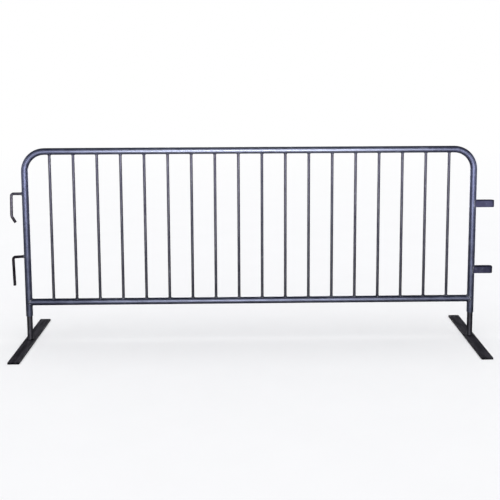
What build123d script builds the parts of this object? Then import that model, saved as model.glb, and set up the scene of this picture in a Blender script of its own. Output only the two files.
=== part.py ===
"""Crowd control barrier: a bent tube frame filled with pickets, with hooks on one upright and loops on the
other, standing on two flat feet whose posts plug into the open ends of the uprights.

Millimetres, +Z up. X runs along the barrier from the hooks to the loops, and Y runs along the feet.
The origin is on the ground, midway between the outermost points of the hooks and the loops.
"""

from build123d import *

import os

# Frame tube, and the rails and uprights made from it
tube_radius = 19.05
tube_wall = 1.65
upright_spacing = 2553.0  # between the axes of the two uprights
top_rail_height = 1105.0  # ground to the top rail's axis
bottom_rail_height = 231.0
upright_end_height = 150.0  # ground to the open lower end of each upright
corner_radius = 114.0  # of the tube's axis
cope_tip = 2.0  # how far the bottom rail's saddle tips stop short of an upright's axis

# Pickets
picket_count = 18
picket_radius = 7.94
picket_wall = 1.0
end_gap = 142.5  # from an upright's axis to that of the nearest picket

# Hooks, round rod: heights above the ground and distances outward from the upright's axis
rod_radius = 7.94
rod_bend_radius = 13.0
tip_chamfer = 1.0
weld_bite = 3.0  # how far the rod is let into the tube before its end is cut to the tube's curve
upper_arm_height = 864.0
upper_leg_top_reach = 78.8
upper_leg_low_reach, upper_leg_low_height = 81.6, 735.5
upper_tip_reach, upper_tip_height = 59.8, 698.2
upper_tip_bend_radius = 30.0
lower_arm_height = 500.5
lower_corner_reach, lower_corner_height = 81.6, 496.5
lower_tip_reach, lower_tip_height = 77.8, 330.5
hook_reach = 89.4  # from the upright's axis to the outermost point of either hook

# Loops, flat strap bent into a U lying on its side
strap_width = 38.1
strap_thickness = 4.8
strap_edge_radius = 1.0
strap_start = 4.5  # from the upright's axis to the ends of the strap, before the tube cuts them
loop_width = 36.0  # over the outside of the U
loop_reach = 122.0  # from the upright's axis to the outside of the bend
upper_loop_height = 790.0
lower_loop_height = 403.0

# Feet
bar_length = 660.0
bar_width = 63.5
bar_thickness = 9.5
bar_corner_radius = 3.0
bar_edge_chamfer = 1.0
post_radius = 15.875
post_wall = 2.1
post_insertion = 120.0  # length of post inside the upright
stop_thickness = 5.0
stop_bore_radius = 10.0

# Places that follow from the dimensions above
middle_x = (hook_reach - loop_reach) / 2  # halfway between the uprights
left_x = middle_x - upright_spacing / 2
right_x = middle_x + upright_spacing / 2
picket_pitch = (upright_spacing - 2 * end_gap) / (picket_count - 1)
post_top_height = upright_end_height + post_insertion


def upright_bar(x):
    """Solid cylinder the size of an upright, which cuts a saddle where a piece meets that upright."""
    with Locations((x, 0, top_rail_height / 2)):
        Cylinder(tube_radius, top_rail_height, mode=Mode.SUBTRACT)


def save(part, name):
    part.label = name
    export_step(part, f"parts/{name}.step")


def make_frame_tube():
    """Both uprights, both corners and the top rail, bent from one tube."""
    with BuildPart() as frame_tube:
        with BuildLine(Plane.XZ) as tube_axis:
            FilletPolyline(
                (left_x, upright_end_height),
                (left_x, top_rail_height),
                (right_x, top_rail_height),
                (right_x, upright_end_height),
                radius=corner_radius,
            )
        with BuildSketch(Plane.XY.offset(upright_end_height)):
            with Locations((left_x, 0)):
                Circle(tube_radius)
                Circle(tube_radius - tube_wall, mode=Mode.SUBTRACT)
        sweep(path=tube_axis.wires()[0])
    return frame_tube.part


def make_bottom_rail():
    """Straight tube between the uprights, its ends cut to their curve."""
    rail_length = upright_spacing - 2 * cope_tip
    with BuildPart() as bottom_rail:
        with BuildSketch(Plane.YZ.offset(left_x + cope_tip)):
            with Locations((0, bottom_rail_height)):
                Circle(tube_radius)
                Circle(tube_radius - tube_wall, mode=Mode.SUBTRACT)
        extrude(amount=rail_length)
        upright_bar(left_x)
        upright_bar(right_x)
    return bottom_rail.part


def make_picket(x):
    """Thin upright tube between the two rails, its ends cut to their curve."""
    rail_cutter_length = 4 * picket_radius
    with BuildPart() as picket:
        with BuildSketch(Plane.XY.offset(bottom_rail_height)):
            with Locations((x, 0)):
                Circle(picket_radius)
                Circle(picket_radius - picket_wall, mode=Mode.SUBTRACT)
        extrude(amount=top_rail_height - bottom_rail_height)
        for rail_height in (bottom_rail_height, top_rail_height):
            with Locations((x, 0, rail_height)):
                Cylinder(tube_radius, rail_cutter_length, rotation=(0, 90, 0), mode=Mode.SUBTRACT)
    return picket.part


def make_hook(arm_height, bends, bend_radii):
    """Round rod out from the left upright and down; bends are (reach, height) from the upright's axis."""
    arm_start = (left_x - tube_radius + weld_bite, arm_height)
    with BuildPart() as hook:
        with BuildLine(Plane.XZ) as rod_axis:
            corners = [(left_x - reach, height) for reach, height in bends]
            FilletPolyline(arm_start, *corners, radius=bend_radii)
        with BuildSketch(Plane(origin=rod_axis.line @ 0, z_dir=rod_axis.line % 0)):
            Circle(rod_radius)
        sweep(path=rod_axis.wires()[0])
        tip_face = hook.faces().sort_by(Axis.Z)[0]
        chamfer(tip_face.edges(), length=tip_chamfer)
        upright_bar(left_x)
    return hook.part


def make_loop(height):
    """Flat strap out from the right upright, round a half circle and back, its ends cut to the tube."""
    leg_y = (loop_width - strap_thickness) / 2
    leg_start_x = right_x + strap_start
    bend_x = right_x + loop_reach - loop_width / 2
    with BuildPart() as loop:
        with BuildLine(Plane.XY.offset(height)) as strap_axis:
            Line((leg_start_x, -leg_y), (bend_x, -leg_y))
            CenterArc((bend_x, 0), leg_y, -90, 180)
            Line((bend_x, leg_y), (leg_start_x, leg_y))
        strap_end = Plane(origin=(leg_start_x, -leg_y, height), x_dir=(0, 1, 0), z_dir=(1, 0, 0))
        with BuildSketch(strap_end):
            RectangleRounded(strap_thickness, strap_width, strap_edge_radius)
        sweep(path=strap_axis.wires()[0])
        upright_bar(right_x)
    return loop.part


def make_post_stop(x):
    """Ring fixed inside an upright, which sits on top of the foot's post."""
    with BuildPart() as post_stop:
        with BuildSketch(Plane.XY.offset(post_top_height)):
            with Locations((x, 0)):
                Circle(tube_radius - tube_wall)
                Circle(stop_bore_radius, mode=Mode.SUBTRACT)
        extrude(amount=stop_thickness)
    return post_stop.part


def make_foot_post(x):
    """Tube that stands on the foot bar and plugs into the upright."""
    with BuildPart() as foot_post:
        with BuildSketch(Plane.XY.offset(bar_thickness)):
            with Locations((x, 0)):
                Circle(post_radius)
                Circle(post_radius - post_wall, mode=Mode.SUBTRACT)
        extrude(amount=post_top_height - bar_thickness)
    return foot_post.part


def make_foot_bar(x):
    """Flat bar lying across the barrier's line."""
    with BuildPart() as foot_bar:
        with BuildSketch(Plane.XY):
            with Locations((x, 0)):
                RectangleRounded(bar_width, bar_length, bar_corner_radius)
        extrude(amount=bar_thickness)
        chamfer(foot_bar.faces().sort_by(Axis.Z)[-1].edges(), length=bar_edge_chamfer)
    return foot_bar.part


def main():
    os.makedirs("parts", exist_ok=True)
    save(make_frame_tube(), "frame_tube")
    save(make_bottom_rail(), "bottom_rail")
    for i in range(picket_count):
        save(make_picket(left_x + end_gap + i * picket_pitch), f"picket_{i + 1:02d}")
    upper_bends = [
        (upper_leg_top_reach, upper_arm_height),
        (upper_leg_low_reach, upper_leg_low_height),
        (upper_tip_reach, upper_tip_height),
    ]
    save(make_hook(upper_arm_height, upper_bends, [rod_bend_radius, upper_tip_bend_radius]), "upper_hook")
    lower_bends = [
        (lower_corner_reach, lower_corner_height),
        (lower_tip_reach, lower_tip_height),
    ]
    save(make_hook(lower_arm_height, lower_bends, [rod_bend_radius]), "lower_hook")
    save(make_loop(upper_loop_height), "upper_loop")
    save(make_loop(lower_loop_height), "lower_loop")
    for side, x in (("left", left_x), ("right", right_x)):
        save(make_post_stop(x), f"{side}_post_stop")
        save(make_foot_post(x), f"{side}_foot_post")
        save(make_foot_bar(x), f"{side}_foot_bar")


main()
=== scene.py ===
"""The looks of a crowd control barrier: zinc-coated tubes, weld beads, painted feet, and a pale studio."""

import math

import bpy
from mathutils import Matrix, Vector, noise


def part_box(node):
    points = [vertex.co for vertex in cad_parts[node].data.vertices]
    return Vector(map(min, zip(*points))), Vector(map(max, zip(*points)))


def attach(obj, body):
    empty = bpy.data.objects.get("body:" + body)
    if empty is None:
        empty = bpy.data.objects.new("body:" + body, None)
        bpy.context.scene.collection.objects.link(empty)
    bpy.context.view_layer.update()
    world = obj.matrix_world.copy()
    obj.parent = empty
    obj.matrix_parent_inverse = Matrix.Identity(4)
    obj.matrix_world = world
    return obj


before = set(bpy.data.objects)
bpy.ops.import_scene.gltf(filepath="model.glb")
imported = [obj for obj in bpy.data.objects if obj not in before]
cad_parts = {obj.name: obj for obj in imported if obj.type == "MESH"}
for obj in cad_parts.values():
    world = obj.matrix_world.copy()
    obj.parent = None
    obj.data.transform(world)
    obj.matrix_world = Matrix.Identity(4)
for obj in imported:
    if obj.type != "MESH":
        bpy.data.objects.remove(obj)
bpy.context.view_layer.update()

X_AXIS, Z_AXIS = Vector((1, 0, 0)), Vector((0, 0, 1))
MM = 0.001

# Camera, in metres and degrees: nearly square on, at a standing person's eye height, looking a little down
CAMERA_PLACE = Vector((-0.051, -4.180, 1.659))
CAMERA_YAW, CAMERA_PITCH, CAMERA_ROLL = -0.92, -5.99, -0.22
CAMERA_LENS, SENSOR_WIDTH = 53.56, 36.0
CAMERA_SHIFT_X, CAMERA_SHIFT_Y = -0.0114, -0.24

# Weld beads: a bead's leg is its size along both pieces
PICKET_LEG, RAIL_LEG, HOOK_LEG, LOOP_LEG, POST_LEG = 3.2 * MM, 4.2 * MM, 3.6 * MM, 3.0 * MM, 4.6 * MM
BEAD_BULGE, RIPPLE_DEPTH = 0.24, 0.07  # shares of the leg
BROAD_WAVER, BROAD_WAVER_SCALE = 0.16, 160  # how much the leg varies, as a share of it, and how quickly
FINE_WAVER, FINE_WAVER_SCALE = 0.08, 700
RIPPLE_PITCH = 2.4 * MM
RIPPLE_LEAN = 2.2  # radians between the middle of each ripple and its two ends
STEP_ALONG_BEAD = 0.45 * MM
SECTION_STEPS = 6
CORNER_STEPS = 8
HEADER_SINK, BRANCH_SINK, ROOT_SINK = 0.42 * MM, 0.12 * MM, 0.7 * MM
RAIL_OUTLINE_INSET = 0.15 * MM  # a rail is as wide as its upright, and its outline stays inside that width

# Two details of the CAD nodes that their boxes don't give
STRAP_THICKNESS, STRAP_EDGE_RADIUS = 4.8 * MM, 1.0 * MM
KNEE_ABOVE_TIP = 43 * MM  # height of the upper hook's last bend above its lowest point


# Sizes and places read from the CAD nodes

def middle(node):
    low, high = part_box(node)
    return (low + high) / 2


def half_size(node):
    low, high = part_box(node)
    return (high - low) / 2


PICKETS = sorted(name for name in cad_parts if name.startswith("picket_"))
SIDES = ("left", "right")
TUBE_RADIUS = half_size("bottom_rail").z
PICKET_RADIUS = half_size(PICKETS[0]).x
UPRIGHT_X = {side: middle(f"{side}_foot_post").x for side in SIDES}
POST_RADIUS = half_size("left_foot_post").x
BAR_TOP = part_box("left_foot_bar")[1].z
TOP_RAIL_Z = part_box("frame_tube")[1].z - TUBE_RADIUS
BOTTOM_RAIL_Z = middle("bottom_rail").z
KNEE_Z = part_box("upper_hook")[0].z + KNEE_ABOVE_TIP


# Weld beads

def circle(radius):
    """Round outline: offsets along and across the header tube, and the outward normal, at even steps."""
    count = math.ceil(2 * math.pi * radius / STEP_ALONG_BEAD)
    angles = [2 * math.pi * i / count for i in range(count)]
    return [(radius * math.cos(t), radius * math.sin(t), math.cos(t), math.sin(t)) for t in angles]


def strap_outline(width, across):
    """Rounded rectangle outline of a strap's end, its centre that far across the header tube."""
    long_half = width / 2 - STRAP_EDGE_RADIUS
    short_half = STRAP_THICKNESS / 2 - STRAP_EDGE_RADIUS
    outline = []
    for quarter in range(4):
        along_sign = 1 if quarter in (0, 3) else -1
        across_sign = 1 if quarter in (0, 1) else -1
        start = quarter * math.pi / 2
        for i in range(CORNER_STEPS + 1):
            t = start + i * math.pi / 2 / CORNER_STEPS
            a = along_sign * long_half + STRAP_EDGE_RADIUS * math.cos(t)
            b = across + across_sign * short_half + STRAP_EDGE_RADIUS * math.sin(t)
            outline.append((a, b, math.cos(t), math.sin(t)))
        side = 2 * (long_half if quarter in (0, 2) else short_half)
        side_steps = math.ceil(side / STEP_ALONG_BEAD)
        away_a, away_b = -math.sin(t), math.cos(t)
        for i in range(1, side_steps):
            gone = side * i / side_steps
            outline.append((a + away_a * gone, b + away_b * gone, math.cos(t), math.sin(t)))
    return outline


def add_bead(verts, faces, outline, origin, out, along, radius, leg):
    """Adds one closed, rippled bead where a branch of that outline leaves a tube, or a flat face.

    The branch leaves from origin in the direction out. The header tube's axis is along, and radius is
    its radius, or None for a flat face.
    """
    across = out.cross(along)
    first = len(verts)
    travelled, last_point = 0.0, None
    for a, b, normal_a, normal_b in outline:
        rise = math.sqrt(max(radius**2 - b**2, 0)) if radius else 0
        point = origin + along * a + across * b + out * rise
        header_normal = (out * rise + across * b).normalized() if radius else out
        branch_normal = along * normal_a + across * normal_b
        header_leg = branch_normal - header_normal * branch_normal.dot(header_normal)
        header_leg.normalize()
        bulge_way = (header_normal + branch_normal).normalized()
        if last_point is not None:
            travelled += (point - last_point).length
        last_point = point
        broad = BROAD_WAVER * noise.noise(point * BROAD_WAVER_SCALE)
        fine = FINE_WAVER * noise.noise(point * FINE_WAVER_SCALE)
        size = leg * (1 + broad + fine)
        for i in range(SECTION_STEPS + 1):
            s = i / SECTION_STEPS
            hump = math.sin(math.pi * s)
            phase = 2 * math.pi * travelled / RIPPLE_PITCH + RIPPLE_LEAN * hump
            spot = point + (header_leg * (1 - s) + out * s) * size
            spot += bulge_way * size * hump * (BEAD_BULGE + RIPPLE_DEPTH * math.sin(phase))
            spot -= header_normal * HEADER_SINK * (1 - s) + branch_normal * BRANCH_SINK * s
            verts.append(spot)
        verts.append(point - bulge_way * ROOT_SINK)
    ring = SECTION_STEPS + 2
    count = len(outline)
    for j in range(count):
        here = first + j * ring
        beyond = first + (j + 1) % count * ring
        for i in range(ring):
            n = (i + 1) % ring
            faces.append((here + i, here + n, beyond + n, beyond + i))


def piece(name, verts, faces, body, material):
    """A mesh object that rides on a body and takes that slot's material."""
    mesh = bpy.data.meshes.new(name)
    mesh.from_pydata([tuple(v) for v in verts], [], faces)
    mesh.validate()
    mesh.update()
    mesh.shade_smooth()
    obj = bpy.data.objects.new(name, mesh)
    bpy.context.scene.collection.objects.link(obj)
    mesh.materials.append(material)
    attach(obj, body)
    return obj


def weld(name, beads, body, material):
    """One piece made of several beads, each given as add_bead's last six arguments."""
    verts, faces = [], []
    for bead in beads:
        add_bead(verts, faces, *bead)
    return piece(name, verts, faces, body, material)


def make_welds(zinc, paint):
    for rail, height, way in (("top_rail", TOP_RAIL_Z, -1), ("bottom_rail", BOTTOM_RAIL_Z, 1)):
        beads = []
        for picket in PICKETS:
            foot = Vector((middle(picket).x, 0, height))
            beads.append((circle(PICKET_RADIUS), foot, Z_AXIS * way, X_AXIS, TUBE_RADIUS, PICKET_LEG))
        weld(f"{rail}_picket_welds", beads, "frame", zinc)

    beads = []
    rail_outline = circle(TUBE_RADIUS - RAIL_OUTLINE_INSET)
    for side, way in (("left", 1), ("right", -1)):
        corner = Vector((UPRIGHT_X[side], 0, BOTTOM_RAIL_Z))
        beads.append((rail_outline, corner, X_AXIS * way, Z_AXIS, TUBE_RADIUS, RAIL_LEG))
    weld("rail_end_welds", beads, "frame", zinc)

    beads = []
    for hook in ("upper_hook", "lower_hook"):
        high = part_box(hook)[1]
        rod_radius = half_size(hook).y
        root = Vector((UPRIGHT_X["left"], 0, high.z - rod_radius))
        beads.append((circle(rod_radius), root, -X_AXIS, Z_AXIS, TUBE_RADIUS, HOOK_LEG))
    weld("hook_root_welds", beads, "frame", zinc)

    beads = []
    for loop in ("upper_loop", "lower_loop"):
        half = half_size(loop)
        root = Vector((UPRIGHT_X["right"], 0, middle(loop).z))
        for across in (half.y - STRAP_THICKNESS / 2, STRAP_THICKNESS / 2 - half.y):
            outline = strap_outline(2 * half.z, across)
            beads.append((outline, root, X_AXIS, Z_AXIS, TUBE_RADIUS, LOOP_LEG))
    weld("loop_end_welds", beads, "frame", zinc)

    for side in SIDES:
        foot = Vector((UPRIGHT_X[side], 0, BAR_TOP))
        beads = [(circle(POST_RADIUS), foot, Z_AXIS, X_AXIS, None, POST_LEG)]
        weld(f"{side}_foot_weld", beads, f"{side}_foot_bar", paint)


# Materials

LOW_SHADE_TINT = (0.55, 0.56, 0.50, 1)
PAINTED_HIGHLIGHT_TINT = (0.56, 0.60, 0.76, 1)
DARKENED = (0.31, 0.27, 0.30, 1)
WHITE_BLOOM = (0.62, 0.64, 0.70, 1)
PAINT_CLEAN, PAINT_TOP_TONE = (0.0025, 0.0022, 0.004, 1), (0.009, 0.0082, 0.0125, 1)
PAINT_RUBBED, PAINT_CHIPPED = (0.040, 0.037, 0.047, 1), (0.13, 0.115, 0.11, 1)
ZINC_BUMP, PAINT_BUMP = 0.12 * MM, 0.25 * MM
CLOUD_LIFT = 0.25  # the most that the clouds add to a height, so that the painted shade towards the bottom ends unevenly
LOW_SHADE_FULL_Z, LOW_SHADE_NONE_Z = 0.25, 1.15  # in heights that the clouds have added to
HIGHLIGHT_FULL_X, HIGHLIGHT_LEAST_X = 0.55, 1.15  # distances along the rails from their middle
HIGHLIGHT_RISE = 0.12  # height over which the painted highlight comes in, up to the top rail's axis
DARK_FADE = 0.015  # height over which the darkening comes in


def new_material(name):
    material = bpy.data.materials.new(name)
    material.use_nodes = True
    tree = material.node_tree
    tree.nodes.clear()
    return material, tree


def add(tree, kind, inputs=None, **settings):
    """A node with its settings, its inputs given as values or as the sockets that feed them."""
    node = tree.nodes.new(kind)
    for key, value in settings.items():
        setattr(node, key, value)
    for key, value in (inputs or {}).items():
        if isinstance(value, bpy.types.NodeSocket):
            tree.links.new(value, node.inputs[key])
        else:
            node.inputs[key].default_value = value
    return node


def noise_value(tree, place, scale, detail=3.0, roughness=0.55, distortion=0.0):
    """Noise over that place, from 0 to 1."""
    inputs = {"Vector": place, "Scale": scale, "Detail": detail}
    inputs.update({"Roughness": roughness, "Distortion": distortion})
    return add(tree, "ShaderNodeTexNoise", inputs).outputs["Fac"]


def stretched_noise(tree, place, scales, detail, roughness, distortion=0.0):
    """Noise with its own scale along each axis."""
    place = add(tree, "ShaderNodeMapping", {"Vector": place, "Scale": scales}).outputs["Vector"]
    return noise_value(tree, place, 1.0, detail, roughness, distortion)


def remap(tree, value, low, high, to_low, to_high):
    inputs = {"Value": value, "From Min": low, "From Max": high, "To Min": to_low, "To Max": to_high}
    return add(tree, "ShaderNodeMapRange", inputs, clamp=True).outputs["Result"]


def blend(tree, factor, first, second, mode="MIX"):
    """Mixes two colours; the sockets 0, 6, 7 and 2 are the factor, both colours and the result."""
    inputs = {0: factor, 6: first, 7: second}
    return add(tree, "ShaderNodeMix", inputs, data_type="RGBA", blend_type=mode).outputs[2]


def maths(tree, operation, first, second):
    return add(tree, "ShaderNodeMath", {0: first, 1: second}, operation=operation).outputs["Value"]


def finish_material(tree, inputs):
    shader = add(tree, "ShaderNodeBsdfPrincipled", inputs)
    add(tree, "ShaderNodeOutputMaterial", {"Surface": shader.outputs["BSDF"]})


def zinc(name, dark, light, rough_low, rough_high, spangle=150.0, rail_highlight=False, dark_below=None):
    """Satin zinc coating: crystal spangle, clouds, faint runs, white bloom, fine scratches, painted shade
    low down.

    If asked, a painted highlight brightens the coating along the middle of the rails, the top rail fully
    and the bottom rail's upper half a little. Below the height dark_below it is nearly black.
    """
    material, tree = new_material(name)
    place = add(tree, "ShaderNodeTexCoord").outputs["Object"]
    clouds = noise_value(tree, place, scale=7.0, detail=4.0, roughness=0.6, distortion=0.4)
    patches = noise_value(tree, place, scale=38.0)
    grain = noise_value(tree, place, scale=900.0, detail=2.0)
    crystals = add(tree, "ShaderNodeTexVoronoi", {"Vector": place, "Scale": spangle, "Randomness": 1.0})
    crystal_shade = add(tree, "ShaderNodeSeparateColor", {"Color": crystals.outputs["Color"]}).outputs["Red"]
    runs = stretched_noise(tree, place, scales=(70.0, 70.0, 5.0), detail=3.0, roughness=0.6)
    scuffs = stretched_noise(tree, place, (260.0, 260.0, 24.0), detail=2.0, roughness=0.7, distortion=0.6)

    tone = remap(tree, clouds, 0.32, 0.68, 0.0, 1.0)
    colour = blend(tree, tone, (*dark, 1), (*light, 1))
    facets = remap(tree, crystal_shade, 0.0, 1.0, 0.92, 1.07)
    colour = blend(tree, 1.0, colour, facets, "MULTIPLY")
    mottle = remap(tree, patches, 0.3, 0.7, 0.88, 1.08)
    colour = blend(tree, 1.0, colour, mottle, "MULTIPLY")
    run_mask = remap(tree, runs, 0.58, 0.72, 0.0, 0.35)
    colour = blend(tree, run_mask, colour, tuple(0.55 * c for c in dark) + (1,))
    bloom_mask = maths(tree, "MULTIPLY", remap(tree, patches, 0.6, 0.75, 0.0, 0.5), tone)
    colour = blend(tree, bloom_mask, colour, WHITE_BLOOM)
    scuff_mask = remap(tree, scuffs, 0.69, 0.73, 0.0, 0.5)
    colour = blend(tree, scuff_mask, colour, tuple(min(1.4 * c, 0.9) for c in light) + (1,))

    position = add(tree, "ShaderNodeSeparateXYZ", {"Vector": place})
    height_up = position.outputs["Z"]
    # painted shade: the colour darkens towards the bottom, and the clouds make where it ends uneven
    uneven_height = maths(tree, "ADD", height_up, maths(tree, "MULTIPLY", clouds, CLOUD_LIFT))
    painted_low_shade = remap(tree, uneven_height, LOW_SHADE_FULL_Z, LOW_SHADE_NONE_Z, 1.0, 0.0)
    colour = blend(tree, painted_low_shade, colour, LOW_SHADE_TINT, "MULTIPLY")
    if dark_below:
        tip_darkening = remap(tree, height_up, dark_below - DARK_FADE, dark_below, 1.0, 0.0)
        colour = blend(tree, tip_darkening, colour, DARKENED, "MULTIPLY")
    if rail_highlight:
        # painted highlight: lighter colour along the middle of the top rail, and a little on the bottom
        # rail's upper half
        off_middle = maths(tree, "ABSOLUTE", position.outputs["X"], 0.0)
        highlight_along_rail = remap(tree, off_middle, HIGHLIGHT_FULL_X, HIGHLIGHT_LEAST_X, 0.88, 0.12)
        top_rail_highlight = remap(tree, height_up, TOP_RAIL_Z - HIGHLIGHT_RISE, TOP_RAIL_Z, 0.0, 1.0)
        bottom_rail_highlight = remap(tree, height_up, BOTTOM_RAIL_Z, BOTTOM_RAIL_Z + 2 * TUBE_RADIUS, 0.2, 0.0)
        painted_highlight = maths(tree, "MULTIPLY", maths(tree, "ADD", top_rail_highlight, bottom_rail_highlight), highlight_along_rail)
        colour = blend(tree, painted_highlight, colour, PAINTED_HIGHLIGHT_TINT)

    roughness = remap(tree, patches, 0.3, 0.7, rough_low, rough_high)
    roughness = maths(tree, "ADD", roughness, remap(tree, crystal_shade, 0.0, 1.0, -0.04, 0.04))
    roughness = maths(tree, "ADD", roughness, maths(tree, "MULTIPLY", bloom_mask, 0.3))

    height = maths(tree, "MULTIPLY", crystal_shade, 0.5)
    height = maths(tree, "ADD", height, maths(tree, "MULTIPLY", grain, 0.6))
    height = maths(tree, "ADD", height, maths(tree, "MULTIPLY", patches, 2.5))
    bump_inputs = {"Height": height, "Strength": 0.6, "Distance": ZINC_BUMP}
    normal = add(tree, "ShaderNodeBump", bump_inputs).outputs["Normal"]

    finish_material(tree, {"Base Color": colour, "Metallic": 1.0, "Roughness": roughness, "Normal": normal})
    return material


def black_paint(name):
    """Near-black paint on rough flat bar: lighter in blotches on faces that point up, streaks scuffed along
    the bar, and small chips.
    """
    material, tree = new_material(name)
    coords = add(tree, "ShaderNodeTexCoord")
    place = coords.outputs["Object"]
    blotches = noise_value(tree, place, scale=16.0, detail=5.0, roughness=0.65, distortion=0.5)
    speckle = noise_value(tree, place, scale=340.0, detail=2.0)
    rub = stretched_noise(tree, place, scales=(75.0, 7.0, 60.0), detail=3.0, roughness=0.6)
    pits = noise_value(tree, place, scale=90.0, detail=4.0, roughness=0.6)

    upward = add(tree, "ShaderNodeSeparateXYZ", {"Vector": coords.outputs["Normal"]}).outputs["Z"]
    # faces that point up are lighter, in blotches
    on_top = remap(tree, upward, 0.3, 0.9, 0.0, 1.0)
    top_lightening = maths(tree, "MULTIPLY", remap(tree, blotches, 0.35, 0.7, 0.1, 1.0), on_top)
    colour = blend(tree, top_lightening, PAINT_CLEAN, PAINT_TOP_TONE)
    rub_mask = remap(tree, rub, 0.44, 0.62, 0.0, 0.60)
    colour = blend(tree, rub_mask, colour, PAINT_RUBBED)
    chip_places = remap(tree, blotches, 0.5, 0.56, 0.0, 1.0)
    chip_mask = maths(tree, "MULTIPLY", remap(tree, pits, 0.66, 0.69, 0.0, 0.8), chip_places)
    colour = blend(tree, chip_mask, colour, PAINT_CHIPPED)

    roughness = remap(tree, blotches, 0.3, 0.7, 0.42, 0.66)
    roughness = maths(tree, "ADD", roughness, maths(tree, "MULTIPLY", chip_mask, 0.2))
    height = maths(tree, "MULTIPLY", pits, 2.0)
    height = maths(tree, "ADD", height, maths(tree, "MULTIPLY", speckle, 0.5))
    height = maths(tree, "SUBTRACT", height, chip_mask)
    bump_inputs = {"Height": height, "Strength": 0.7, "Distance": PAINT_BUMP}
    normal = add(tree, "ShaderNodeBump", bump_inputs).outputs["Normal"]

    inputs = {"Base Color": colour, "Roughness": roughness, "Normal": normal, "Specular IOR Level": 0.16}
    finish_material(tree, inputs)
    return material


def dress_nodes(materials):
    """Gives each CAD node the material of its kind."""
    kinds = {
        "frame_tube": "frame", "bottom_rail": "frame", "upper_hook": "hook", "lower_hook": "hook",
        "upper_loop": "loop", "lower_loop": "loop",
    }
    for side in SIDES:
        kinds[f"{side}_foot_post"] = "post"
        kinds[f"{side}_foot_bar"] = "paint"
        kinds[f"{side}_post_stop"] = "stop"
    for picket in PICKETS:
        kinds[picket] = "picket"
    for name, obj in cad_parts.items():
        obj.data.materials.clear()
        obj.data.materials.append(materials[kinds[name]])


# Studio, in metres and degrees

WHITE = (1.0, 1.0, 1.0, 1)
ROOM_GREY = (0.030, 0.033, 0.045, 1)
FLOOR_DARKER, FLOOR_PALER = (0.90, 0.90, 0.905, 1), (0.93, 0.93, 0.935, 1)
FLOOR_IN_GLOSS = (0.035, 0.035, 0.042, 1)
FLOOR_REACH = 60.0
FADE_START, FADE_END = 2.5, 9.0  # distances from the middle over which the floor turns plain white
SOFTBOX_SIZE, SOFTBOX_HEIGHT = (2.8, 1.4), 0.95
SOFTBOX_TARGET = (0, 0, 0.6)
WASH_STRENGTH, WASH_SPREAD = 3.2, 120


def make_floor():
    """Pale matt floor, darker only in the metal's reflections, so that tubes keep their dark edges."""
    mesh = bpy.data.meshes.new("studio_floor")
    corners = [(x * FLOOR_REACH, y * FLOOR_REACH, 0) for x, y in ((-1, -1), (1, -1), (1, 1), (-1, 1))]
    mesh.from_pydata(corners, [], [(0, 1, 2, 3)])
    floor = bpy.data.objects.new("studio_floor", mesh)
    bpy.context.scene.collection.objects.link(floor)
    material, tree = new_material("pale_floor")
    place = add(tree, "ShaderNodeTexCoord").outputs["Object"]
    mottle = noise_value(tree, place, scale=3.0, detail=5.0)
    colour = blend(tree, mottle, FLOOR_DARKER, FLOOR_PALER)
    pale = add(tree, "ShaderNodeBsdfDiffuse", {"Color": colour}).outputs["BSDF"]
    dim = add(tree, "ShaderNodeBsdfDiffuse", {"Color": FLOOR_IN_GLOSS}).outputs["BSDF"]
    in_gloss = add(tree, "ShaderNodeLightPath").outputs["Is Glossy Ray"]
    shader = add(tree, "ShaderNodeMixShader", {0: in_gloss, 1: pale, 2: dim}).outputs["Shader"]
    from_middle = add(tree, "ShaderNodeVectorMath", {0: place}, operation="LENGTH").outputs["Value"]
    far = remap(tree, from_middle, FADE_START, FADE_END, 0.0, 1.0)
    far = maths(tree, "MULTIPLY", far, maths(tree, "SUBTRACT", 1.0, in_gloss))
    glow = add(tree, "ShaderNodeEmission", {"Color": WHITE}).outputs["Emission"]
    shader = add(tree, "ShaderNodeMixShader", {0: far, 1: shader, 2: glow}).outputs["Shader"]
    add(tree, "ShaderNodeOutputMaterial", {"Surface": shader})
    mesh.materials.append(material)


def make_world():
    """White behind the floor, and a dim grey room for everything that the tubes reflect."""
    world = bpy.data.worlds.new("studio")
    world.use_nodes = True
    tree = world.node_tree
    tree.nodes.clear()
    seen = add(tree, "ShaderNodeLightPath").outputs["Is Camera Ray"]
    colour = blend(tree, seen, ROOM_GREY, WHITE)
    background = add(tree, "ShaderNodeBackground", {"Color": colour}).outputs["Background"]
    add(tree, "ShaderNodeOutputWorld", {"Surface": background})
    bpy.context.scene.world = world


def add_softbox(name, azimuth, distance, watts):
    """A softbox that far from the middle, azimuth 0 being in front, which only the gloss picks up."""
    light = bpy.data.lights.new(name, "AREA")
    light.shape = "RECTANGLE"
    light.size, light.size_y = SOFTBOX_SIZE
    light.energy = watts
    turn = math.radians(azimuth)
    place = Vector((distance * math.sin(turn), -distance * math.cos(turn), SOFTBOX_HEIGHT))
    facing = (Vector(SOFTBOX_TARGET) - place).to_track_quat("-Z", "Y")
    softbox = bpy.data.objects.new(name, light)
    softbox.matrix_world = Matrix.Translation(place) @ facing.to_matrix().to_4x4()
    softbox.visible_camera = False
    softbox.visible_diffuse = False
    bpy.context.scene.collection.objects.link(softbox)


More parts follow.
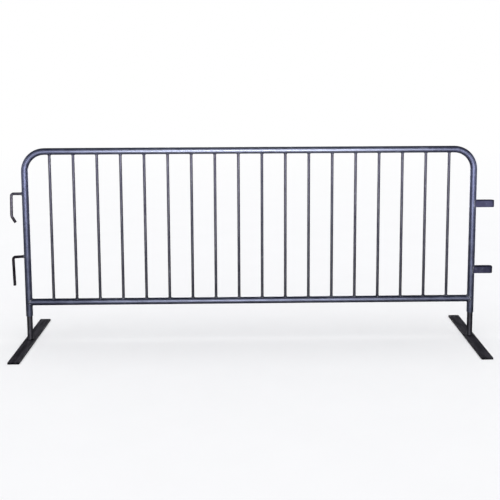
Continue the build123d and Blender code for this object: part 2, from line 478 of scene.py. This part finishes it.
def make_lights():
    """Softboxes all round for the gloss, and an even wash from above for everything matt."""
    for name, azimuth, distance, watts in (
        ("front_softbox", 0, 4.6, 150), ("back_softbox", 180, 4.8, 110),
        ("left_front_softbox", -62, 4.4, 14), ("right_front_softbox", 62, 4.4, 14),
        ("left_back_softbox", -122, 4.6, 18), ("right_back_softbox", 122, 4.6, 18),
    ):
        add_softbox(name, azimuth, distance, watts)
    wash = bpy.data.lights.new("overhead_wash", "SUN")
    wash.energy = WASH_STRENGTH
    wash.angle = math.radians(WASH_SPREAD)
    overhead = bpy.data.objects.new("overhead_wash", wash)
    overhead.visible_glossy = False
    bpy.context.scene.collection.objects.link(overhead)


def make_camera():
    data = bpy.data.cameras.new("camera")
    data.sensor_width = SENSOR_WIDTH
    data.lens = CAMERA_LENS
    data.shift_x, data.shift_y = CAMERA_SHIFT_X, CAMERA_SHIFT_Y
    data.dof.use_dof = False
    camera = bpy.data.objects.new("camera", data)
    turn = Matrix.Rotation(math.radians(CAMERA_YAW), 4, "Z")
    tilt = Matrix.Rotation(math.radians(90 + CAMERA_PITCH), 4, "X")
    roll = Matrix.Rotation(math.radians(CAMERA_ROLL), 4, "Z")
    camera.matrix_world = Matrix.Translation(CAMERA_PLACE) @ turn @ tilt @ roll
    bpy.context.scene.collection.objects.link(camera)
    bpy.context.scene.camera = camera
    bpy.context.scene.view_settings.view_transform = "Standard"


make_camera()
make_world()
make_floor()
make_lights()
MATERIALS = {
    "frame": zinc("frame_zinc", (0.19, 0.205, 0.34), (0.285, 0.307, 0.485), 0.46, 0.56, rail_highlight=True),
    "picket": zinc("picket_zinc", (0.14, 0.138, 0.19), (0.205, 0.20, 0.265), 0.46, 0.56, spangle=190.0),
    "hook": zinc(
        "hook_zinc", (0.135, 0.125, 0.165), (0.215, 0.20, 0.26), 0.42, 0.54,
        spangle=170.0, dark_below=KNEE_Z,
    ),
    # the loop straps: the frame's zinc made darker, as painted shade for their flat faces
    "loop": zinc("loop_zinc", (0.10, 0.10, 0.195), (0.155, 0.155, 0.285), 0.42, 0.54),
    "post": zinc("post_zinc", (0.16, 0.15, 0.20), (0.27, 0.26, 0.34), 0.40, 0.52),
    "stop": zinc("stop_steel", (0.20, 0.19, 0.19), (0.32, 0.31, 0.31), 0.40, 0.55),
    "weld": zinc("weld_zinc", (0.26, 0.27, 0.36), (0.42, 0.43, 0.54), 0.36, 0.50, spangle=300.0),
    "paint": black_paint("foot_paint"),
}
dress_nodes(MATERIALS)
make_welds(MATERIALS["weld"], MATERIALS["paint"])
